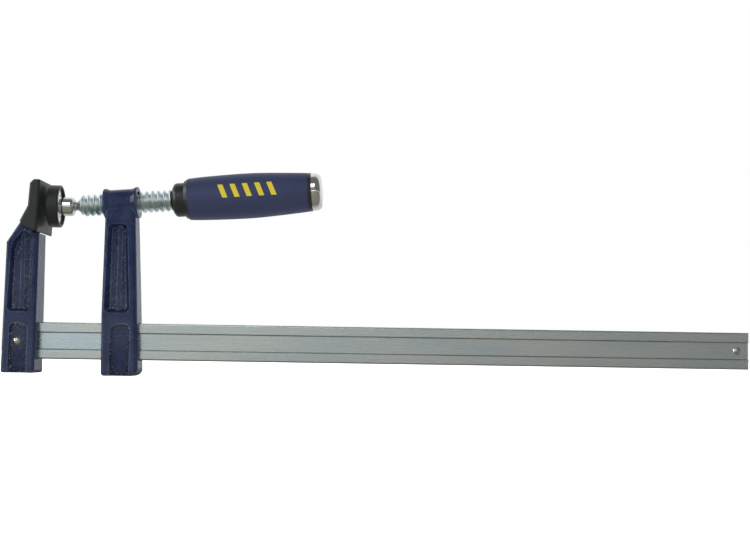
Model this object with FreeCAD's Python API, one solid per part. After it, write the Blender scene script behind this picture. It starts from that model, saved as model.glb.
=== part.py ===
# F clamp: an I-section bar, a fixed jaw riveted on its left end, a sliding arm and
# a trapezoidal screw with a swivel pad.  Lengths in millimetres.
# Frame: origin at the centre of the fixed pad's clamping face, +X along the bar
# towards its free end, +Z from the bar up to the screw, Y across the thickness.
import FreeCAD
import Part
import math
import os

V = FreeCAD.Vector

# bar
BAR_LEFT = -24.0
BAR_RIGHT = 480.4
BAR_Z = -90.7            # centre height of the bar
BAR_HEIGHT = 25.0
BAR_THICK = 7.0
BAR_EDGE_R = 1.0
FLANGE = 6.4             # height of each edge flange
WEB_RECESS = 1.2         # depth of the groove rolled into each side
STOP_PIN_X = 472.7
STOP_PIN_R = 2.7

# fixed jaw
JAW_LEFT_LOW = -24.5
JAW_LEFT_HIGH = -23.9
JAW_RIGHT_LOW = -1.75
JAW_RIGHT_HIGH = -1.95
JAW_BOTTOM = -112.7
JAW_HALF_LOW = 11.2      # half thickness at the foot
JAW_HALF_HIGH = 8.8      # half thickness at the tip
JAW_EDGE_R = 1.8
RIVET_X = -14.6
RIVET_Z = -91.0
RIVET_R = 2.75
FLAT_R = 0.4             # tiny flat left at the top of each dome

# fixed pad
PAD_HALF = 18.75
PAD_TOP = 17.8
PAD_BOTTOM = -17.9
PAD_LEAN = math.radians(1.8)

# sliding arm
ARM_BOTTOM = -113.8
ARM_HALF_LOW = 10.7
ARM_HALF_HIGH = 8.6
ARM_EDGE_R = 1.8
ARM_WORK_EDGE_R = 3.0    # rounding of the long edges on the handle side
SLOT_GAP = 0.3           # sliding clearance round the bar
BOSS_X = (41.0, 63.9)
BOSS_R = 9.5
BOSS_LIP_R = 10.7
BORE_GAP = 0.3

# screw, in its own frame: x runs along the axis from the ball's centre
BALL = V(15.5, 0, 1.53)
SCREW_TILT = 4.25        # degrees the screw climbs towards the handle
BALL_R = 4.5
NECK_R = 2.7
RING = (4.7, 5.5)        # start and end of the snap ring on the neck
RING_R = 3.2
RING_GAP = 0.06
THREAD_R = 7.4
THREAD_PITCH = 4.0
THREAD_DEPTH = 2.1
THREAD_START = 9.4
THREAD_END = 73.2
ROD_R = 5.2
ROD_END = 150.0

# swivel pad, in its own frame: x runs from the ball's centre towards the handle
SWING = 3.5              # degrees the pad is turned about Z at rest
DISC_R = 14.5
DISC_FRONT = -12.45
DISC_BACK = -4.8
RIM_WALL = 1.8
PLATE_FRONT = -10.4
PLATE_BACK = -6.1
CUP_R = 6.37
CUP_END = 4.0
CAVITY_R = 4.8
MOUTH_R = 5.0

# handle, positions along the screw axis from the ball's centre
COLLAR = (72.8, 81.0)
COLLAR_R = 11.6
SLEEVE = (83.8, 165.2)
SLEEVE_INNER_R = 12.0
CORE_END = 167.8
CAP_END = 175.4
CAP_R = 12.75
CAP_CORNER_R = 4.2
SPIGOT_R = 6.0           # spigot of the end cap, pressed into the core
SPIGOT_LENGTH = 9.0
PIN_X = 98.0             # cross pin that locks the grip to the screw
PIN_R = 1.5
HANDLE_OUTLINE = ((81.0, 12.8), (83.6, 14.2), (90.5, 14.7), (101.6, 15.15), (118.1, 15.5),
                  (129.1, 15.45), (145.7, 14.65), (156.7, 13.95), (163.0, 13.5), (167.8, 13.1))


def polygon(points, y=0.0):
    """Closed face in the XZ plane at height y."""
    ring = [V(x, y, z) for x, z in points]
    return Part.Face(Part.makePolygon(ring + ring[:1]))


def slab(points, half):
    """Side outline extruded evenly to both sides of the XZ plane."""
    return polygon(points, -half).extrude(V(0, 2 * half, 0))


def thickness(points, x0, x1):
    """Solid between x0 and x1 whose half thickness at each height is given."""
    ring = [V(x0, h, z) for h, z in points] + [V(x0, -h, z) for h, z in reversed(points)]
    return Part.Face(Part.makePolygon(ring + ring[:1])).extrude(V(x1 - x0, 0, 0))


def box(x0, x1, y0, y1, z0, z1):
    return Part.makeBox(x1 - x0, y1 - y0, z1 - z0, V(x0, y0, z0))


def rod(radius, x0, x1):
    return Part.makeCylinder(radius, x1 - x0, V(x0, 0, 0), V(1, 0, 0))


def cross_rod(radius, x, z, y0, y1):
    return Part.makeCylinder(radius, y1 - y0, V(x, y0, z), V(0, 1, 0))


def revolve(edges):
    """Revolve a closed profile drawn in the upper XZ plane about the X axis."""
    return Part.Face(Part.Wire(edges)).revolve(V(0, 0, 0), V(1, 0, 0), 360)


def turned(points):
    """Turned shape from a closed list of (x, radius)."""
    return polygon(points).revolve(V(0, 0, 0), V(1, 0, 0), 360)


def edges_along(shape, direction, test=None):
    """Straight edges that run nearly along a direction and pass a position test."""
    found = []
    for edge in shape.Edges:
        if len(edge.Vertexes) < 2 or not isinstance(edge.Curve, (Part.Line, Part.LineSegment)):
            continue
        span = edge.Vertexes[1].Point - edge.Vertexes[0].Point
        middle = (edge.Vertexes[1].Point + edge.Vertexes[0].Point) * 0.5
        if abs(span.normalize().dot(direction)) > 0.8 and (test is None or test(middle)):
            found.append(edge)
    return found


def drafted_pocket(outline, half, depth, draft, corner):
    """Cast pocket in both side faces: the outline shrinks by draft at its floor."""
    reach = 3.0
    cuts = []
    for side in (-1, 1):
        mouth = rounded(outline, corner, side * (half + reach), -draft * reach / depth)
        floor = rounded(outline, corner, side * (half - depth), draft)
        cuts.append(Part.makeLoft([mouth, floor], True, True))
    return cuts


def rounded(outline, corner, y, shrink):
    """Convex outline moved inwards by shrink, with its corners rounded."""
    count = len(outline)
    lines = []
    for i in range(count):
        a = V(outline[i][0], 0, outline[i][1])
        b = V(outline[(i + 1) % count][0], 0, outline[(i + 1) % count][1])
        way = (b - a).normalize()
        inward = V(-way.z, 0, way.x)
        lines.append((a + inward * shrink, way))
    corners = []
    for i in range(count):
        (p, d), (q, e) = lines[i - 1], lines[i]
        t = ((q - p).x * e.z - (q - p).z * e.x) / (d.x * e.z - d.z * e.x)
        corners.append(p + d * t)
    radius = corner - shrink
    edges = []
    starts = []
    ends = []
    mids = []
    for i in range(count):
        here = corners[i]
        back = (corners[i - 1] - here).normalize()
        on = (corners[(i + 1) % count] - here).normalize()
        half_angle = back.getAngle(on) / 2
        reach = radius / math.tan(half_angle)
        centre = here + (back + on).normalize() * (radius / math.sin(half_angle))
        starts.append(here + back * reach)
        ends.append(here + on * reach)
        mids.append(centre + (here - centre).normalize() * radius)
    shift = V(0, y, 0)
    for i in range(count):
        edges.append(Part.Arc(starts[i] + shift, mids[i] + shift, ends[i] + shift).toShape())
        edges.append(Part.makeLine(ends[i] + shift, starts[(i + 1) % count] + shift))
    return Part.Wire(edges)


def foot_recess(x0, x1, top, bottom, half, depth, left_r, right_r):
    """Arched recess over the bar, open at the foot, in both side faces."""
    bend = 1 - math.sqrt(0.5)
    cuts = []
    for side in (-1, 1):
        y = side * (half - depth)
        ring = [Part.makeLine(V(x0, y, bottom), V(x0, y, top - left_r)),
                Part.Arc(V(x0, y, top - left_r), V(x0 + bend * left_r, y, top - bend * left_r),
                         V(x0 + left_r, y, top)).toShape(),
                Part.makeLine(V(x0 + left_r, y, top), V(x1 - right_r, y, top)),
                Part.Arc(V(x1 - right_r, y, top), V(x1 - bend * right_r, y, top - bend * right_r),
                         V(x1, y, top - right_r)).toShape(),
                Part.makeLine(V(x1, y, top - right_r), V(x1, y, bottom)),
                Part.makeLine(V(x1, y, bottom), V(x0, y, bottom))]
        cuts.append(Part.Face(Part.Wire(ring)).extrude(V(0, side * (depth + 1.0), 0)))
    return cuts


def bar_section(x0, x1, gap):
    """I-section between x0 and x1, grown on every side by gap."""
    half = BAR_THICK / 2 + gap
    high = BAR_HEIGHT / 2 + gap
    solid = box(x0, x1, -half, half, BAR_Z - high, BAR_Z + high)
    lip = BAR_HEIGHT / 2 - FLANGE - gap
    web = BAR_THICK / 2 - WEB_RECESS + gap
    slope = 0.7
    for side in (-1, 1):
        ring = [V(x0, side * (half + 1), BAR_Z - lip - slope), V(x0, side * half, BAR_Z - lip),
                V(x0, side * web, BAR_Z - lip + slope), V(x0, side * web, BAR_Z + lip - slope),
                V(x0, side * half, BAR_Z + lip), V(x0, side * (half + 1), BAR_Z + lip + slope)]
        solid = solid.cut(Part.Face(Part.makePolygon(ring + ring[:1])).extrude(V(x1 - x0, 0, 0)))
    return solid


def bar():
    solid = bar_section(BAR_LEFT, BAR_RIGHT, 0.0)
    outer = BAR_THICK / 2 - 0.01
    corners = edges_along(solid, V(1, 0, 0), lambda m: abs(m.z - BAR_Z) > 12 and abs(m.y) > outer)
    solid = solid.makeFillet(BAR_EDGE_R, corners)
    solid = solid.cut(cross_rod(RIVET_R, RIVET_X, RIVET_Z, -BAR_THICK, BAR_THICK))
    return solid.cut(cross_rod(STOP_PIN_R - 0.6, STOP_PIN_X, BAR_Z, -BAR_THICK, BAR_THICK))


def stop_pin():
    """Pin through the web whose domed heads stand in the grooves."""
    web = BAR_THICK / 2 - WEB_RECESS
    crown = BAR_THICK / 2 - 0.1
    shank = STOP_PIN_R - 0.6
    profile = [Part.makeLine(V(0, 0, 0), V(0, 0, shank)),
               Part.makeLine(V(0, 0, shank), V(web, 0, shank)),
               Part.makeLine(V(web, 0, shank), V(web, 0, STOP_PIN_R)),
               Part.Arc(V(web, 0, STOP_PIN_R), V(web + 0.8, 0, 1.7), V(crown, 0, FLAT_R)).toShape(),
               Part.makeLine(V(crown, 0, FLAT_R), V(crown, 0, 0)),
               Part.makeLine(V(crown, 0, 0), V(0, 0, 0))]
    half = revolve(profile)
    both = half.fuse(half.mirror(V(0, 0, 0), V(1, 0, 0))).removeSplitter()
    both.rotate(V(0, 0, 0), V(0, 0, 1), 90)
    both.translate(V(STOP_PIN_X, 0, BAR_Z))
    return both


def jaw_rivet():
    floor = JAW_HALF_LOW - 3.2
    crown = floor + 1.5
    profile = [Part.makeLine(V(0, 0, 0), V(0, 0, RIVET_R)),
               Part.makeLine(V(0, 0, RIVET_R), V(floor + 0.3, 0, RIVET_R)),
               Part.Arc(V(floor + 0.3, 0, RIVET_R), V(floor + 1.15, 0, 1.7), V(crown, 0, FLAT_R)).toShape(),
               Part.makeLine(V(crown, 0, FLAT_R), V(crown, 0, 0)),
               Part.makeLine(V(crown, 0, 0), V(0, 0, 0))]
    half = revolve(profile)
    both = half.fuse(half.mirror(V(0, 0, 0), V(1, 0, 0))).removeSplitter()
    both.rotate(V(0, 0, 0), V(0, 0, 1), 90)
    both.translate(V(RIVET_X, 0, RIVET_Z))
    return both


def fixed_jaw():
    shoulder = PAD_BOTTOM
    outline = [(JAW_LEFT_LOW, JAW_BOTTOM),
               (JAW_LEFT_HIGH, -24.0), (-9.5, -1.0), (-6.9, -1.0), (-6.3, shoulder),
               (JAW_RIGHT_HIGH, shoulder), (JAW_RIGHT_LOW, JAW_BOTTOM)]
    body = slab(outline, JAW_HALF_LOW + 1)
    heel = body.makeFillet(2.2, edges_along(body, V(0, 1, 0), lambda m: m.z < -112))
    body = body.common(thickness(((JAW_HALF_LOW, JAW_BOTTOM - 2), (JAW_HALF_HIGH, 2.0)), -30, 5))
    long_edges = edges_along(body, V(0, 0, 1), lambda m: abs(m.y) > 8 and (m.z < -19 or m.x < -10))
    body = body.makeFillet(JAW_EDGE_R, long_edges).common(heel)
    pocket = [(-21.6, -71.0), (-20.6, -29.0), (-19.0, -23.1), (-13.6, -16.2),
              (-10.4, -16.2), (-5.4, -20.8), (-6.1, -71.0)]
    for cut in drafted_pocket(pocket[::-1], 9.6, 3.8, 2.1, 3.0):
        body = body.cut(cut)
    for side in (-1, 1):
        rib = polygon([(-14.0, -69.0), (-10.6, -69.0), (-11.6, -17.0), (-14.2, -17.0)], side * 5.0)
        body = body.fuse(rib.extrude(V(0, side * 1.8, 0)))
    for cut in foot_recess(-19.4, -7.2, -79.0, JAW_BOTTOM - 2, JAW_HALF_LOW, 3.2, 3.4, 5.6):
        body = body.cut(cut)
    half = BAR_THICK / 2
    high = BAR_HEIGHT / 2
    body = body.cut(box(BAR_LEFT, 5, -half, half, BAR_Z - high, BAR_Z + high))
    return body.cut(cross_rod(RIVET_R, RIVET_X, RIVET_Z, -15, 15)).removeSplitter()


def fixed_pad(jaw):
    """Plastic hood over the jaw's head, cut to sit on it."""
    top = PAD_TOP * math.tan(PAD_LEAN)
    low = PAD_BOTTOM * math.tan(PAD_LEAN)
    outline = [(low, PAD_BOTTOM), (top, PAD_TOP), (-3.8, PAD_TOP), (-6.6, 15.0), (-7.5, 0.0),
               (-12.7, -10.4), (-9.2, -14.5)]
    body = slab(outline, PAD_HALF)
    body = body.makeFillet(1.6, edges_along(body, V(0, 0, 1), lambda m: abs(m.y) > 18))
    body = body.makeFillet(0.9, edges_along(body, V(0, 1, 0), lambda m: m.z > 14 or m.z < -12))
    return body.cut(jaw)


def on_screw(shape):
    """Move a shape from the screw's own frame onto the tilted axis."""
    shape = shape.copy()
    shape.rotate(V(0, 0, 0), V(0, 1, 0), -SCREW_TILT)
    shape.translate(BALL)
    return shape


def lip_curve(x_lip, x_neck, neck):
    """Hollow curve from the boss's lip down to its neck."""
    middle = V((x_lip + x_neck) / 2 + (x_neck - x_lip) * 0.12, 0, neck + (BOSS_LIP_R - neck) * 0.32)
    return Part.Arc(V(x_lip, 0, BOSS_LIP_R), middle, V(x_neck, 0, neck)).toShape()


def sliding_arm():
    outline = [(43.1, ARM_BOTTOM), (42.3, -72.0), (42.8, 3.0),
               (62.8, 4.0), (65.9, -60.0), (68.2, ARM_BOTTOM)]
    body = slab(outline, ARM_HALF_LOW + 1)
    heel = body.makeFillet(5.5, edges_along(body, V(0, 1, 0), lambda m: m.z < -113 and m.x > 60))
    heel = heel.makeFillet(2.6, edges_along(heel, V(0, 1, 0), lambda m: m.z < -113 and m.x < 50))
    body = body.common(thickness(((ARM_HALF_LOW, ARM_BOTTOM - 2), (ARM_HALF_HIGH, 6.0)), 38, 70))
    body = body.makeFillet(ARM_EDGE_R, edges_along(body, V(0, 0, 1), lambda m: abs(m.y) > 8 and m.x < 50))
    work_edges = edges_along(body, V(0, 0, 1), lambda m: abs(m.y) > 8 and m.x > 60)
    body = body.makeFillet(ARM_WORK_EDGE_R, work_edges)
    body = body.common(heel)
    pocket = [(44.3, -70.9), (45.0, -10.3), (58.6, -10.3), (61.2, -70.9)]
    for cut in drafted_pocket(pocket[::-1], 9.3, 3.8, 2.6, 3.5):
        body = body.cut(cut)
    for side in (-1, 1):
        rib = polygon([(51.6, -69.0), (55.4, -69.0), (54.8, -12.0), (52.0, -12.0)], side * 4.8)
        body = body.fuse(rib.extrude(V(0, side * 1.8, 0)))
    for cut in foot_recess(48.8, 62.2, -78.7, ARM_BOTTOM - 2, ARM_HALF_LOW, 3.2, 6.0, 3.8):
        body = body.cut(cut)
    start = (BOSS_X[0] - BALL.x) / math.cos(math.radians(SCREW_TILT))
    end = (BOSS_X[1] - BALL.x) / math.cos(math.radians(SCREW_TILT))
    middle = (start + end) / 2
    neck = BOSS_R + 0.1
    left = lip_curve(start + 1.3, start + 4.2, neck)
    right = lip_curve(end - 1.3, end - 4.2, neck)
    flare = [Part.makeLine(V(start, 0, 0), V(start, 0, BOSS_LIP_R)),
             Part.makeLine(V(start, 0, BOSS_LIP_R), V(start + 1.3, 0, BOSS_LIP_R)), left,
             Part.makeLine(V(start + 4.2, 0, neck), V(end - 4.2, 0, neck)), right,
             Part.makeLine(V(end - 1.3, 0, BOSS_LIP_R), V(end, 0, BOSS_LIP_R)),
             Part.makeLine(V(end, 0, BOSS_LIP_R), V(end, 0, 0)),
             Part.makeLine(V(end, 0, 0), V(start, 0, 0))]
    body = body.fuse(on_screw(revolve(flare)))
    body = body.cut(on_screw(rod(THREAD_R + BORE_GAP, start - 5, end + 5)))
    return body.cut(bar_section(35.0, 75.0, SLOT_GAP)).removeSplitter()


def thread_ridge():
    """Helical ridge of trapezoid section, run out at both ends of the screw."""
    root = THREAD_R - THREAD_DEPTH
    helix = Part.makeHelix(THREAD_PITCH, THREAD_END - THREAD_START + 2, root)
    flank = [(root - 0.4, 1.75), (6.4, 1.1), (7.15, 0.6), (THREAD_R, 0.2)]
    ring = [V(r, 0, -w) for r, w in flank] + [V(r, 0, w) for r, w in reversed(flank)]
    ridge = Part.Wire(helix).makePipeShell([Part.makePolygon(ring + ring[:1])], True, True)
    ridge.rotate(V(0, 0, 0), V(0, 1, 0), 90)
    ridge.translate(V(THREAD_START - 1, 0, 0))
    over = THREAD_R + 0.2
    under = root - 0.2
    return ridge.common(turned([(THREAD_START - 1, 0), (THREAD_START - 1, under), (THREAD_START + 1.7, over),
                                (THREAD_END - 2, over), (THREAD_END + 0.5, under), (THREAD_END + 0.5, 0)]))


def spindle():
    root = THREAD_R - THREAD_DEPTH
    body = turned([(0, 0), (0, NECK_R), (6.0, NECK_R), (THREAD_START - 0.2, root), (THREAD_END + 1, root),
                   (ROD_END, ROD_R), (ROD_END, 0)])
    body = body.fuse(thread_ridge())
    body = body.fuse(Part.makeSphere(BALL_R, V(0, 0, 0)))
    return on_screw(body.cut(cross_rod(PIN_R, PIN_X, 0, -20, 20)))


def retaining_ring():
    """Snap ring behind the ball; the screw turns inside it, the pad rocks round it."""
    return on_screw(rod(RING_R, *RING).cut(rod(NECK_R + RING_GAP, RING[0] - 1, RING[1] + 1)))


def on_pad(shape):
    shape = shape.copy()
    shape.rotate(V(0, 0, 0), V(0, 0, 1), SWING)
    shape.translate(BALL)
    return shape


def swivel_plate():
    """Drawn steel hat: a round plate with a cup closed over the screw's ball."""
    plate_r = DISC_R - RIM_WALL
    shoulder = 2.0
    profile = [V(PLATE_FRONT, 0, 0), V(PLATE_FRONT, 0, plate_r), V(PLATE_BACK, 0, plate_r),
               V(PLATE_BACK, 0, CUP_R + shoulder), V(PLATE_BACK + shoulder, 0, CUP_R),
               V(CUP_END - shoulder, 0, CUP_R)]
    bend = math.sqrt(0.5) * shoulder
    rim = CUP_R - shoulder + 0.6
    foot = Part.Arc(profile[3], V(PLATE_BACK + shoulder - bend, 0, CUP_R + shoulder - bend), profile[4])
    arc = Part.Arc(profile[5], V(CUP_END - shoulder + bend, 0, CUP_R - shoulder + bend), V(CUP_END, 0, rim))
    edges = [Part.makeLine(profile[i], profile[i + 1]) for i in range(3)]
    edges += [foot.toShape(), Part.makeLine(profile[4], profile[5]), arc.toShape()]
    edges.append(Part.makeLine(V(CUP_END, 0, rim), V(CUP_END, 0, 0)))
    edges.append(Part.makeLine(V(CUP_END, 0, 0), profile[0]))
    body = revolve(edges)
    throat_r = 3.9
    throat = math.sqrt(CAVITY_R ** 2 - throat_r ** 2)
    body = body.cut(Part.makeSphere(CAVITY_R, V(0, 0, 0)))
    body = body.cut(turned([(throat - 0.5, 0), (throat - 0.5, throat_r - 0.3), (throat, throat_r),
                            (CUP_END, MOUTH_R - 0.3), (CUP_END + 1, MOUTH_R), (CUP_END + 1, 0)]))
    return on_pad(body)


def pad_cap():
    """Plastic shoe snapped over the plate, open at the back."""
    inner = DISC_R - RIM_WALL
    body = rod(DISC_R, DISC_FRONT, DISC_BACK)
    rim = [edge for edge in body.Edges if isinstance(edge.Curve, Part.Circle)]
    body = body.makeFillet(0.8, rim)
    return on_pad(body.cut(rod(inner, PLATE_FRONT, DISC_BACK + 1)))


def handle_curve():
    """Outer line of the grip, from the front bevel to the rear ring."""
    points = [V(x, 0, r) for x, r in HANDLE_OUTLINE[1:]]
    curve = Part.BSplineCurve()
    curve.interpolate(points)
    return curve.toShape()


def grip_solid():
    first = HANDLE_OUTLINE[0]
    second = HANDLE_OUTLINE[1]
    last = HANDLE_OUTLINE[-1]
    edges = [Part.makeLine(V(first[0], 0, 0), V(first[0], 0, first[1])),
             Part.makeLine(V(first[0], 0, first[1]), V(second[0], 0, second[1])),
             handle_curve(),
             Part.makeLine(V(last[0], 0, last[1]), V(last[0], 0, 0)),
             Part.makeLine(V(last[0], 0, 0), V(first[0], 0, 0))]
    return revolve(edges)


def sleeve_space():
    return rod(20.0, SLEEVE[0], SLEEVE[1]).cut(rod(SLEEVE_INNER_R, SLEEVE[0] - 1, SLEEVE[1] + 1))


def handle_core():
    """Hard plastic core: a collar round the screw's run-out, and the grip under the sleeve."""
    front = COLLAR[0]
    clear_r = THREAD_R + 0.2
    collar = turned([(front, 0), (front, COLLAR_R - 2.4), (front + 1.2, COLLAR_R - 0.6),
                     (front + 2.6, COLLAR_R), (COLLAR[1], COLLAR_R), (COLLAR[1], 0)])
    body = collar.fuse(grip_solid().cut(sleeve_space()))
    body = body.cut(turned([(front - 1, 0), (front - 1, clear_r), (THREAD_END + 1, clear_r),
                            (THREAD_END + 1, THREAD_R - THREAD_DEPTH), (ROD_END, ROD_R), (ROD_END, 0)]))
    body = body.cut(rod(SPIGOT_R, CORE_END - SPIGOT_LENGTH - 0.5, CORE_END + 1))
    body = body.cut(cross_rod(PIN_R, PIN_X, 0, -20, 20))
    return on_screw(body.removeSplitter())


def handle_sleeve():
    return on_screw(grip_solid().common(sleeve_space()))


def handle_cross_pin():
    reach = SLEEVE_INNER_R - 0.5
    return on_screw(cross_rod(PIN_R, PIN_X, 0, -reach, reach))


def handle_end_cap():
    """Domed cap with a spigot pressed into the core."""
    bend = CAP_CORNER_R * (1 - math.sqrt(0.5))
    spigot = CORE_END - SPIGOT_LENGTH
    edge = CAP_END - 0.7
    shoulder = V(edge - CAP_CORNER_R, 0, CAP_R)
    rim = V(edge, 0, CAP_R - CAP_CORNER_R)
    profile = [Part.makeLine(V(spigot, 0, 0), V(spigot, 0, SPIGOT_R)),
               Part.makeLine(V(spigot, 0, SPIGOT_R), V(CORE_END, 0, SPIGOT_R)),
               Part.makeLine(V(CORE_END, 0, SPIGOT_R), V(CORE_END, 0, CAP_R)),
               Part.makeLine(V(CORE_END, 0, CAP_R), shoulder),
               Part.Arc(shoulder, V(edge - bend, 0, CAP_R - bend), rim).toShape(),
               Part.Arc(rim, V(CAP_END - 0.2, 0, 4.6), V(CAP_END, 0, FLAT_R)).toShape(),
               Part.makeLine(V(CAP_END, 0, FLAT_R), V(CAP_END, 0, 0)),
               Part.makeLine(V(CAP_END, 0, 0), V(spigot, 0, 0))]
    return on_screw(revolve(profile))


os.makedirs("parts", exist_ok=True)
jaw = fixed_jaw()
solids = {
    "bar": bar(),
    "bar_stop_pin": stop_pin(),
    "fixed_jaw": jaw,
    "jaw_rivet": jaw_rivet(),
    "fixed_pad": fixed_pad(jaw),
    "sliding_arm": sliding_arm(),
    "spindle": spindle(),
    "retaining_ring": retaining_ring(),
    "swivel_plate": swivel_plate(),
    "pad_cap": pad_cap(),
    "handle_core": handle_core(),
    "handle_sleeve": handle_sleeve(),
    "handle_cross_pin": handle_cross_pin(),
    "handle_end_cap": handle_end_cap(),
}
for name, shape in solids.items():
    print(name, "solids", len(shape.Solids), "valid", shape.isValid(), "volume", round(shape.Volume, 1))
    shape.exportStep("parts/" + name + ".step")
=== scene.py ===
"""F clamp: looks, floor, light and camera.  Metres, in the part's own frame."""
import math

import bpy
from mathutils import Matrix, Vector


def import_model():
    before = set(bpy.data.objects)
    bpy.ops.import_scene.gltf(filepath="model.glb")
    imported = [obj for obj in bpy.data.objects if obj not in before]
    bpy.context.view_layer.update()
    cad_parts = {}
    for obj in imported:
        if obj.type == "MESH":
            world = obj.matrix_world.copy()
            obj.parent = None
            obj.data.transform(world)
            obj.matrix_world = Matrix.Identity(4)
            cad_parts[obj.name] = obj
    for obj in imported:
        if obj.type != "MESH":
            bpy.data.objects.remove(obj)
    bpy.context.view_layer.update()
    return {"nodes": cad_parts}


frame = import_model()

# places and sizes in the part's frame
FLOOR_Z = -0.1138
FLOOR_GAP = 0.0002
FLOOR_SIDE = 12.0
FLOOR_MIDDLE = 0.2
BAR_Z = -0.0907
WEB_HALF = 0.0061
BALL = Vector((0.0155, 0.0, 0.00153))
SCREW_TILT = math.radians(4.25)

# soft light on the object, from each direction of the studio
FRONT_LEFT = 0.62
FRONT_RIGHT = 0.14
BACK_LEVEL = 0.85
TOP_LEVEL = 1.0
FRONT_SPAN = (-0.45, 0.45)
BACK_SPAN = (-0.05, 0.30)
TOP_SPAN = (0.12, 0.32)

# what gloss and metal mirror, from each direction of the studio
HORIZON_LEFT = 2.15
HORIZON_RIGHT = 0.50
FRONT_SHADE = 0.15
SOFTBOX_LEFT = 5.0
SOFTBOX_HIGH = 3.5
BACK_MIRRORED = 0.85
HORIZON_SPAN = (-0.45, 0.30)
HORIZON_TOP = (0.05, 0.09)
SOFTBOX_LEFT_X, SOFTBOX_LEFT_Z = (-0.88, -0.66), (-0.12, 0.60)
SOFTBOX_HIGH_X, SOFTBOX_HIGH_Z = (-0.20, -0.09), (0.22, 0.70)
BACK_MIRRORED_SPAN = (0.05, 0.40)

# floor: its own glow to the eye, its bounce as soft light, and what is mirrored of it
FLOOR_GLOW = 0.8
FLOOR_BOUNCE = 0.25
FLOOR_LEFT, FLOOR_LEFT_TINT = 0.25, (1.0, 1.0, 0.75)
FLOOR_RIGHT, FLOOR_RIGHT_TINT = 0.18, (1.0, 0.85, 0.75)
FLOOR_BEHIND = 0.60
FLOOR_SIDE_SPAN = (-0.3, 0.4)
FLOOR_BACK_SPAN = (-0.02, 0.10)

# printed mark on the grip
MARK_START = 0.1072
MARK_PITCH = 0.0083
MARK_LENGTH = 0.0395
MARK_RISE = 0.0024
MARK_SLANT = 0.35
MARK_SHARE = 0.42
MARK_HALF = 0.0046

# bluish tone on the bar's web, strongest between the jaws and fading out along the bar
WEB_BLUE_FULL = 0.03
WEB_BLUE_GONE = 0.09
WEB_BLUE_DEPTH = 0.8

# camera
EYE = (0.23557, -0.81083, -0.09559)
EYE_HEADING = 0.604
EYE_PITCH = 93.748
EYE_ROLL = 0.888
LENS = 57.02
SENSOR = 36.0

# parts of a noise's range that are stretched into a pattern
FIRM = (0.35, 0.65)
GENTLE = (0.3, 0.7)


# ---------------------------------------------------------------- node helpers
def material(name):
    """New node material; returns it with its tree, its shader and the point being shaded."""
    mat = bpy.data.materials.new(name)
    mat.use_nodes = True
    tree = mat.node_tree
    shader = tree.nodes["Principled BSDF"]
    place = tree.nodes.new("ShaderNodeTexCoord").outputs["Object"]
    return mat, tree, shader, place


def tone(colour, level=1.0):
    """Opaque colour at a level of brightness."""
    return tuple(level * channel for channel in colour) + (1.0,)


def plug(tree, value, socket):
    """Link an output, or set a constant."""
    if hasattr(value, "is_linked"):
        tree.links.new(value, socket)
    else:
        socket.default_value = value


def axes(tree, vector):
    """The three parts of a vector."""
    node = tree.nodes.new("ShaderNodeSeparateXYZ")
    tree.links.new(vector, node.inputs[0])
    return node.outputs


def stretched(tree, place, scale):
    """The point being shaded, scaled along each axis."""
    node = tree.nodes.new("ShaderNodeMapping")
    tree.links.new(place, node.inputs["Vector"])
    node.inputs["Scale"].default_value = scale
    return node.outputs["Vector"]


def noise(tree, place, scale, detail=3.0, rough=0.5):
    node = tree.nodes.new("ShaderNodeTexNoise")
    tree.links.new(place, node.inputs["Vector"])
    node.inputs["Scale"].default_value = scale
    node.inputs["Detail"].default_value = detail
    node.inputs["Roughness"].default_value = rough
    return node.outputs["Fac"]


def remap(tree, value, low, high, to_low=0.0, to_high=1.0):
    """Ramp from to_low, where the value is low, to to_high, where it is high."""
    node = tree.nodes.new("ShaderNodeMapRange")
    tree.links.new(value, node.inputs["Value"])
    node.inputs["From Min"].default_value = low
    node.inputs["From Max"].default_value = high
    node.inputs["To Min"].default_value = to_low
    node.inputs["To Max"].default_value = to_high
    return node.outputs["Result"]


def mix(tree, factor, first, second):
    """Colour between first and second."""
    node = tree.nodes.new("ShaderNodeMix")
    node.data_type = "RGBA"
    plug(tree, factor, node.inputs[0])
    plug(tree, first, node.inputs[6])
    plug(tree, second, node.inputs[7])
    return node.outputs[2]


def math_node(tree, operation, first, second=0.0):
    node = tree.nodes.new("ShaderNodeMath")
    node.operation = operation
    plug(tree, first, node.inputs[0])
    plug(tree, second, node.inputs[1])
    return node.outputs[0]


def plus(tree, first, second):
    return math_node(tree, "ADD", first, second)


def minus(tree, first, second):
    return math_node(tree, "SUBTRACT", first, second)


def times(tree, first, second):
    return math_node(tree, "MULTIPLY", first, second)


def inside(tree, value, low, high):
    """1 where the value lies between low and high, 0 elsewhere."""
    return times(tree, math_node(tree, "GREATER_THAN", value, low), math_node(tree, "LESS_THAN", value, high))


def lerp(tree, factor, first, second):
    """Plain number between first and second."""
    return plus(tree, times(tree, first, minus(tree, 1.0, factor)), times(tree, second, factor))


def softened(tree, radius):
    """Surface normal with sharp edges rounded by the radius."""
    node = tree.nodes.new("ShaderNodeBevel")
    node.samples = 6
    node.inputs["Radius"].default_value = radius
    return node.outputs["Normal"]


def bump(tree, shader, height, distance, strength, edge):
    """Fine relief; edge softens the look of sharp corners by that radius."""
    node = tree.nodes.new("ShaderNodeBump")
    tree.links.new(softened(tree, edge), node.inputs["Normal"])
    tree.links.new(height, node.inputs["Height"])
    node.inputs["Distance"].default_value = distance
    node.inputs["Strength"].default_value = strength
    tree.links.new(node.outputs["Normal"], shader.inputs["Normal"])


def roughness(tree, shader, pattern, low, high):
    """Roughness between low and high, following the pattern."""
    tree.links.new(remap(tree, pattern, *GENTLE, low, high), shader.inputs["Roughness"])


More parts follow.
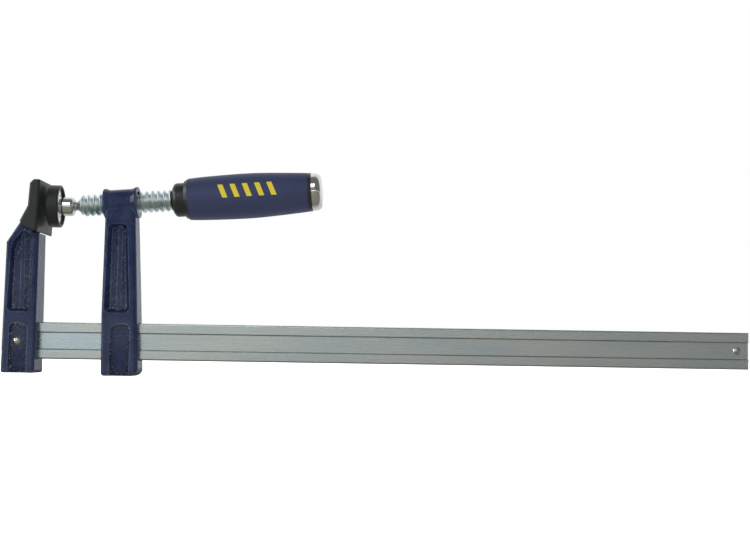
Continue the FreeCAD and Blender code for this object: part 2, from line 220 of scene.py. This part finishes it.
def shelter(tree, reach):
    """How open the surface is to its surroundings: 1 in the open, less inside a corner."""
    node = tree.nodes.new("ShaderNodeAmbientOcclusion")
    node.samples = 8
    node.inputs["Distance"].default_value = reach
    return node.outputs["AO"]


def edges(tree, radius):
    """1 along sharp edges within the radius, 0 on flat ground."""
    turn = tree.nodes.new("ShaderNodeVectorMath")
    turn.operation = "DOT_PRODUCT"
    tree.links.new(softened(tree, radius), turn.inputs[0])
    tree.links.new(tree.nodes.new("ShaderNodeNewGeometry").outputs["Normal"], turn.inputs[1])
    return remap(tree, turn.outputs["Value"], 0.90, 0.995, 1.0, 0.0)


# ------------------------------------------------------------------- materials
def paint():
    """Blue enamel, its tone varying at random; painted shade darkens it in corners and recesses, painted
    highlight lightens its sharp edges, and painted glints sit as light specks in the corners.
    """
    mat, tree, shader, place = material("blue_enamel")
    broad = noise(tree, place, scale=70.0, detail=4.0)
    deep = tone((0.010, 0.016, 0.050))
    worn = tone((0.018, 0.027, 0.070))
    painted_corner_shade = tone((0.006, 0.008, 0.020))
    painted_edge_highlight = tone((0.110, 0.130, 0.200))
    painted_glint = tone((0.34, 0.38, 0.46))
    openness = shelter(tree, reach=0.007)
    coat = mix(tree, remap(tree, broad, *FIRM), deep, worn)
    # painted shade: darker where the surface is closed in, in corners and recesses
    coat = mix(tree, remap(tree, openness, 0.35, 0.95), painted_corner_shade, coat)
    # painted highlight: lighter lines along sharp edges, broken up at random
    patchy = remap(tree, broad, 0.40, 0.60, 0.4, 1.0)
    coat = mix(tree, times(tree, edges(tree, radius=0.0010), patchy), coat, painted_edge_highlight)
    # painted glints: small light specks, only in corners and recesses
    sheltered = remap(tree, openness, 0.50, 0.88, 1.0, 0.0)
    dots = remap(tree, noise(tree, place, scale=950.0, detail=1.0), 0.64, 0.68, 0.0, 0.8)
    coat = mix(tree, times(tree, dots, sheltered), coat, painted_glint)
    tree.links.new(coat, shader.inputs["Base Color"])
    roughness(tree, shader, broad, 0.20, 0.32)
    shader.inputs["Specular IOR Level"].default_value = 0.18
    shader.inputs["Coat Weight"].default_value = 0.25
    shader.inputs["Coat Roughness"].default_value = 0.06
    peel = noise(tree, place, scale=420.0, detail=2.0)
    nibs = remap(tree, noise(tree, place, scale=650.0, detail=1.0), 0.61, 0.70, 0.0, 3.0)
    bump(tree, shader, plus(tree, peel, nibs), distance=0.00022, strength=0.75, edge=0.0007)
    return mat


def zinc_bar():
    """Plated bar, its web bluish between the jaws and fading out along the bar."""
    mat, tree, shader, place = material("plated_bar")
    fine = noise(tree, stretched(tree, place, (1.5, 900.0, 2000.0)), scale=1.0, detail=5.0, rough=0.6)
    blotch = noise(tree, stretched(tree, place, (14.0, 60.0, 60.0)), scale=1.0)
    cool = tone((0.60, 0.65, 0.66))
    warm = tone((0.68, 0.69, 0.66))
    bluish = tone((0.60, 0.71, 0.78))
    plate = mix(tree, remap(tree, blotch, *FIRM), cool, warm)
    x, _, z = axes(tree, place)
    tint_share = remap(tree, x, WEB_BLUE_FULL, WEB_BLUE_GONE, WEB_BLUE_DEPTH, 0.0)
    web = inside(tree, z, BAR_Z - WEB_HALF, BAR_Z + WEB_HALF)
    plate = mix(tree, times(tree, tint_share, web), plate, bluish)
    tree.links.new(plate, shader.inputs["Base Color"])
    shader.inputs["Metallic"].default_value = 1.0
    roughness(tree, shader, fine, 0.265, 0.277)
    bump(tree, shader, fine, distance=0.000002, strength=0.1, edge=0.0002)
    return mat


def plated(name, colour, low, high, tint=None):
    """Plated steel, roughness low to high; tint adds a cloudy film."""
    mat, tree, shader, place = material(name)
    cloud = noise(tree, place, scale=260.0)
    metal = mix(tree, cloud, tone(colour, 0.85), tone(colour))
    if tint:
        tint_share = remap(tree, noise(tree, place, scale=170.0, detail=2.0), 0.45, 0.62, 0.0, 0.8)
        metal = mix(tree, tint_share, metal, tone(tint))
    tree.links.new(metal, shader.inputs["Base Color"])
    shader.inputs["Metallic"].default_value = 1.0
    roughness(tree, shader, cloud, low, high)
    grain = noise(tree, place, scale=900.0, detail=2.0)
    bump(tree, shader, grain, distance=0.00001, strength=0.4, edge=0.0002)
    return mat


def plastic(name, colour, rough, grain, depth):
    """Moulded plastic with a fine grain of that depth."""
    mat, tree, shader, place = material(name)
    cloud = noise(tree, place, scale=120.0)
    tree.links.new(mix(tree, cloud, tone(colour, 0.75), tone(colour)), shader.inputs["Base Color"])
    roughness(tree, shader, cloud, rough - 0.04, rough + 0.05)
    bump(tree, shader, noise(tree, place, grain, detail=2.0), distance=depth, strength=0.7, edge=0.0004)
    return mat


def along_grip(tree, place):
    """Distance along the screw from its ball, and height above its axis."""
    x, _, z = axes(tree, place)
    east = minus(tree, x, BALL.x)
    up = minus(tree, z, BALL.z)
    lean, rise = math.cos(SCREW_TILT), math.sin(SCREW_TILT)
    run = plus(tree, times(tree, east, lean), times(tree, up, rise))
    height = minus(tree, times(tree, up, lean), times(tree, east, rise))
    return run, height


def soft_sleeve():
    """Navy grip with a plain printed row of slanted yellow bars, the same on both sides."""
    mat, tree, shader, place = material("sleeve_soft")
    cloud = noise(tree, place, scale=120.0)
    navy = mix(tree, cloud, tone((0.018, 0.025, 0.074)), tone((0.023, 0.032, 0.092)))
    yellow = tone((0.60, 0.46, 0.015))
    run, height = along_grip(tree, place)
    slanted = plus(tree, minus(tree, run, MARK_START), times(tree, height, MARK_SLANT))
    beat = math_node(tree, "FRACT", math_node(tree, "DIVIDE", slanted, MARK_PITCH))
    row = inside(tree, slanted, 0.0, MARK_LENGTH)
    bars = times(tree, math_node(tree, "LESS_THAN", beat, MARK_SHARE), row)
    centred = math_node(tree, "ABSOLUTE", minus(tree, height, MARK_RISE))
    mark = times(tree, bars, math_node(tree, "LESS_THAN", centred, MARK_HALF))
    tree.links.new(mix(tree, mark, navy, yellow), shader.inputs["Base Color"])
    roughness(tree, shader, cloud, 0.44, 0.54)
    grain = noise(tree, place, scale=2200.0, detail=2.0)
    bump(tree, shader, grain, distance=0.00003, strength=0.7, edge=0.0003)
    return mat


def put(name, mat):
    """Give every material slot of a CAD node this material."""
    for slot in frame["nodes"][name].material_slots:
        slot.material = mat


blue = paint()
black = plastic("pad_plastic", (0.014, 0.014, 0.016), 0.42, grain=1500.0, depth=0.00006)
core = plastic("core_plastic", (0.018, 0.017, 0.017), 0.34, grain=1500.0, depth=0.00003)
sleeve = soft_sleeve()
screw_steel = plated("screw_zinc", (0.88, 0.92, 0.92), 0.30, 0.42, tint=(0.46, 0.62, 0.68))
cup_steel = plated("cup_plating", (0.80, 0.79, 0.77), 0.08, 0.16)
chrome = plated("cap_chrome", (0.90, 0.87, 0.84), 0.05, 0.10)
pin_steel = plated("pin_zinc", (0.66, 0.67, 0.66), 0.24, 0.36)

put("bar", zinc_bar())
put("bar_stop_pin", pin_steel)
put("fixed_jaw", blue)
put("jaw_rivet", plated("rivet_plating", (0.86, 0.80, 0.68), 0.24, 0.34))
put("sliding_arm", blue)
put("fixed_pad", black)
put("pad_cap", black)
put("swivel_plate", cup_steel)
put("spindle", screw_steel)
put("retaining_ring", pin_steel)
put("handle_core", core)
put("handle_sleeve", sleeve)
put("handle_cross_pin", pin_steel)
put("handle_end_cap", chrome)


# ---------------------------------------------------------- floor, light, view
def floor():
    """Pale floor; gloss mirrors it darker than the eye sees it, and darker in front than behind."""
    bpy.ops.mesh.primitive_plane_add(size=FLOOR_SIDE, location=(FLOOR_MIDDLE, 0.0, FLOOR_Z - FLOOR_GAP))
    plane = bpy.context.object
    plane.name = "floor"
    mat, tree, shader, place = material("pale_floor")
    rays = tree.nodes.new("ShaderNodeLightPath").outputs
    shade = noise(tree, place, scale=0.8, detail=1.0)
    pale = mix(tree, shade, tone((0.93, 0.93, 0.93)), tone((0.96, 0.96, 0.96)))
    x, y, _ = axes(tree, place)
    left = tone(FLOOR_LEFT_TINT, FLOOR_LEFT)
    right = tone(FLOOR_RIGHT_TINT, FLOOR_RIGHT)
    behind = tone((1.0, 1.0, 1.0), FLOOR_BEHIND)
    front = mix(tree, remap(tree, x, *FLOOR_SIDE_SPAN), left, right)
    mirrored = mix(tree, remap(tree, y, *FLOOR_BACK_SPAN), front, behind)
    tree.links.new(mix(tree, rays["Is Glossy Ray"], pale, mirrored), shader.inputs["Base Color"])
    shader.inputs["Roughness"].default_value = 0.9
    shader.inputs["Emission Color"].default_value = tone((1.0, 1.0, 1.0))
    seen = times(tree, rays["Is Camera Ray"], FLOOR_GLOW)
    bounce = times(tree, rays["Is Diffuse Ray"], FLOOR_BOUNCE)
    tree.links.new(plus(tree, seen, bounce), shader.inputs["Emission Strength"])
    plane.data.materials.append(mat)


def area(name, place, aim, size, power):
    """Soft lamp that lights the object but is not mirrored in it."""
    data = bpy.data.lights.new(name, "AREA")
    data.shape = "RECTANGLE"
    data.size, data.size_y = size
    data.energy = power
    lamp = bpy.data.objects.new(name, data)
    lamp.location = place
    lamp.visible_glossy = False
    lamp.rotation_euler = (Vector(aim) - Vector(place)).to_track_quat("-Z", "Y").to_euler()
    bpy.context.scene.collection.objects.link(lamp)


def world():
    """Plain white to the eye; for gloss to mirror, darker in front, with two softboxes."""
    sky = bpy.data.worlds.new("studio")
    bpy.context.scene.world = sky
    sky.use_nodes = True
    tree = sky.node_tree
    back = tree.nodes["Background"]
    x, y, z = axes(tree, tree.nodes.new("ShaderNodeTexCoord").outputs["Generated"])
    rays = tree.nodes.new("ShaderNodeLightPath").outputs

    ahead = remap(tree, x, *FRONT_SPAN, FRONT_LEFT, FRONT_RIGHT)
    level = lerp(tree, remap(tree, y, *BACK_SPAN), ahead, BACK_LEVEL)
    soft = lerp(tree, remap(tree, z, *TOP_SPAN), level, TOP_LEVEL)

    horizon = remap(tree, x, *HORIZON_SPAN, HORIZON_LEFT, HORIZON_RIGHT)
    front = lerp(tree, remap(tree, z, *HORIZON_TOP), horizon, FRONT_SHADE)
    high_box = times(tree, inside(tree, x, *SOFTBOX_HIGH_X), inside(tree, z, *SOFTBOX_HIGH_Z))
    left_box = times(tree, inside(tree, x, *SOFTBOX_LEFT_X), inside(tree, z, *SOFTBOX_LEFT_Z))
    front = lerp(tree, left_box, lerp(tree, high_box, front, SOFTBOX_HIGH), SOFTBOX_LEFT)
    mirrored = lerp(tree, remap(tree, y, *BACK_MIRRORED_SPAN), front, BACK_MIRRORED)

    strength = lerp(tree, rays["Is Glossy Ray"], soft, mirrored)
    seen = rays["Is Camera Ray"]
    tree.links.new(mix(tree, seen, tone((0.95, 1.0, 1.02)), tone((1.0, 1.0, 1.0))), back.inputs["Color"])
    tree.links.new(math_node(tree, "MAXIMUM", strength, seen), back.inputs["Strength"])


def camera():
    """Camera in front, nearly square to the bar."""
    data = bpy.data.cameras.new("view")
    data.sensor_width = SENSOR
    data.lens = LENS
    data.clip_start = 0.01
    eye = bpy.data.objects.new("view", data)
    turn = (Matrix.Rotation(math.radians(EYE_HEADING), 4, "Z")
            @ Matrix.Rotation(math.radians(EYE_PITCH), 4, "X"))
    roll = Matrix.Rotation(math.radians(EYE_ROLL), 4, "Z")
    eye.matrix_world = Matrix.Translation(EYE) @ turn @ roll
    bpy.context.scene.collection.objects.link(eye)
    bpy.context.scene.camera = eye


floor()
world()
area("key", (-0.5, -0.9, 1.1), aim=(0.15, 0.0, -0.05), size=(1.2, 0.8), power=4.0)
area("side", (1.3, -0.8, 0.5), aim=(0.2, 0.0, -0.05), size=(0.8, 0.8), power=0.7)
camera()
bpy.context.scene.view_settings.view_transform = "Standard"
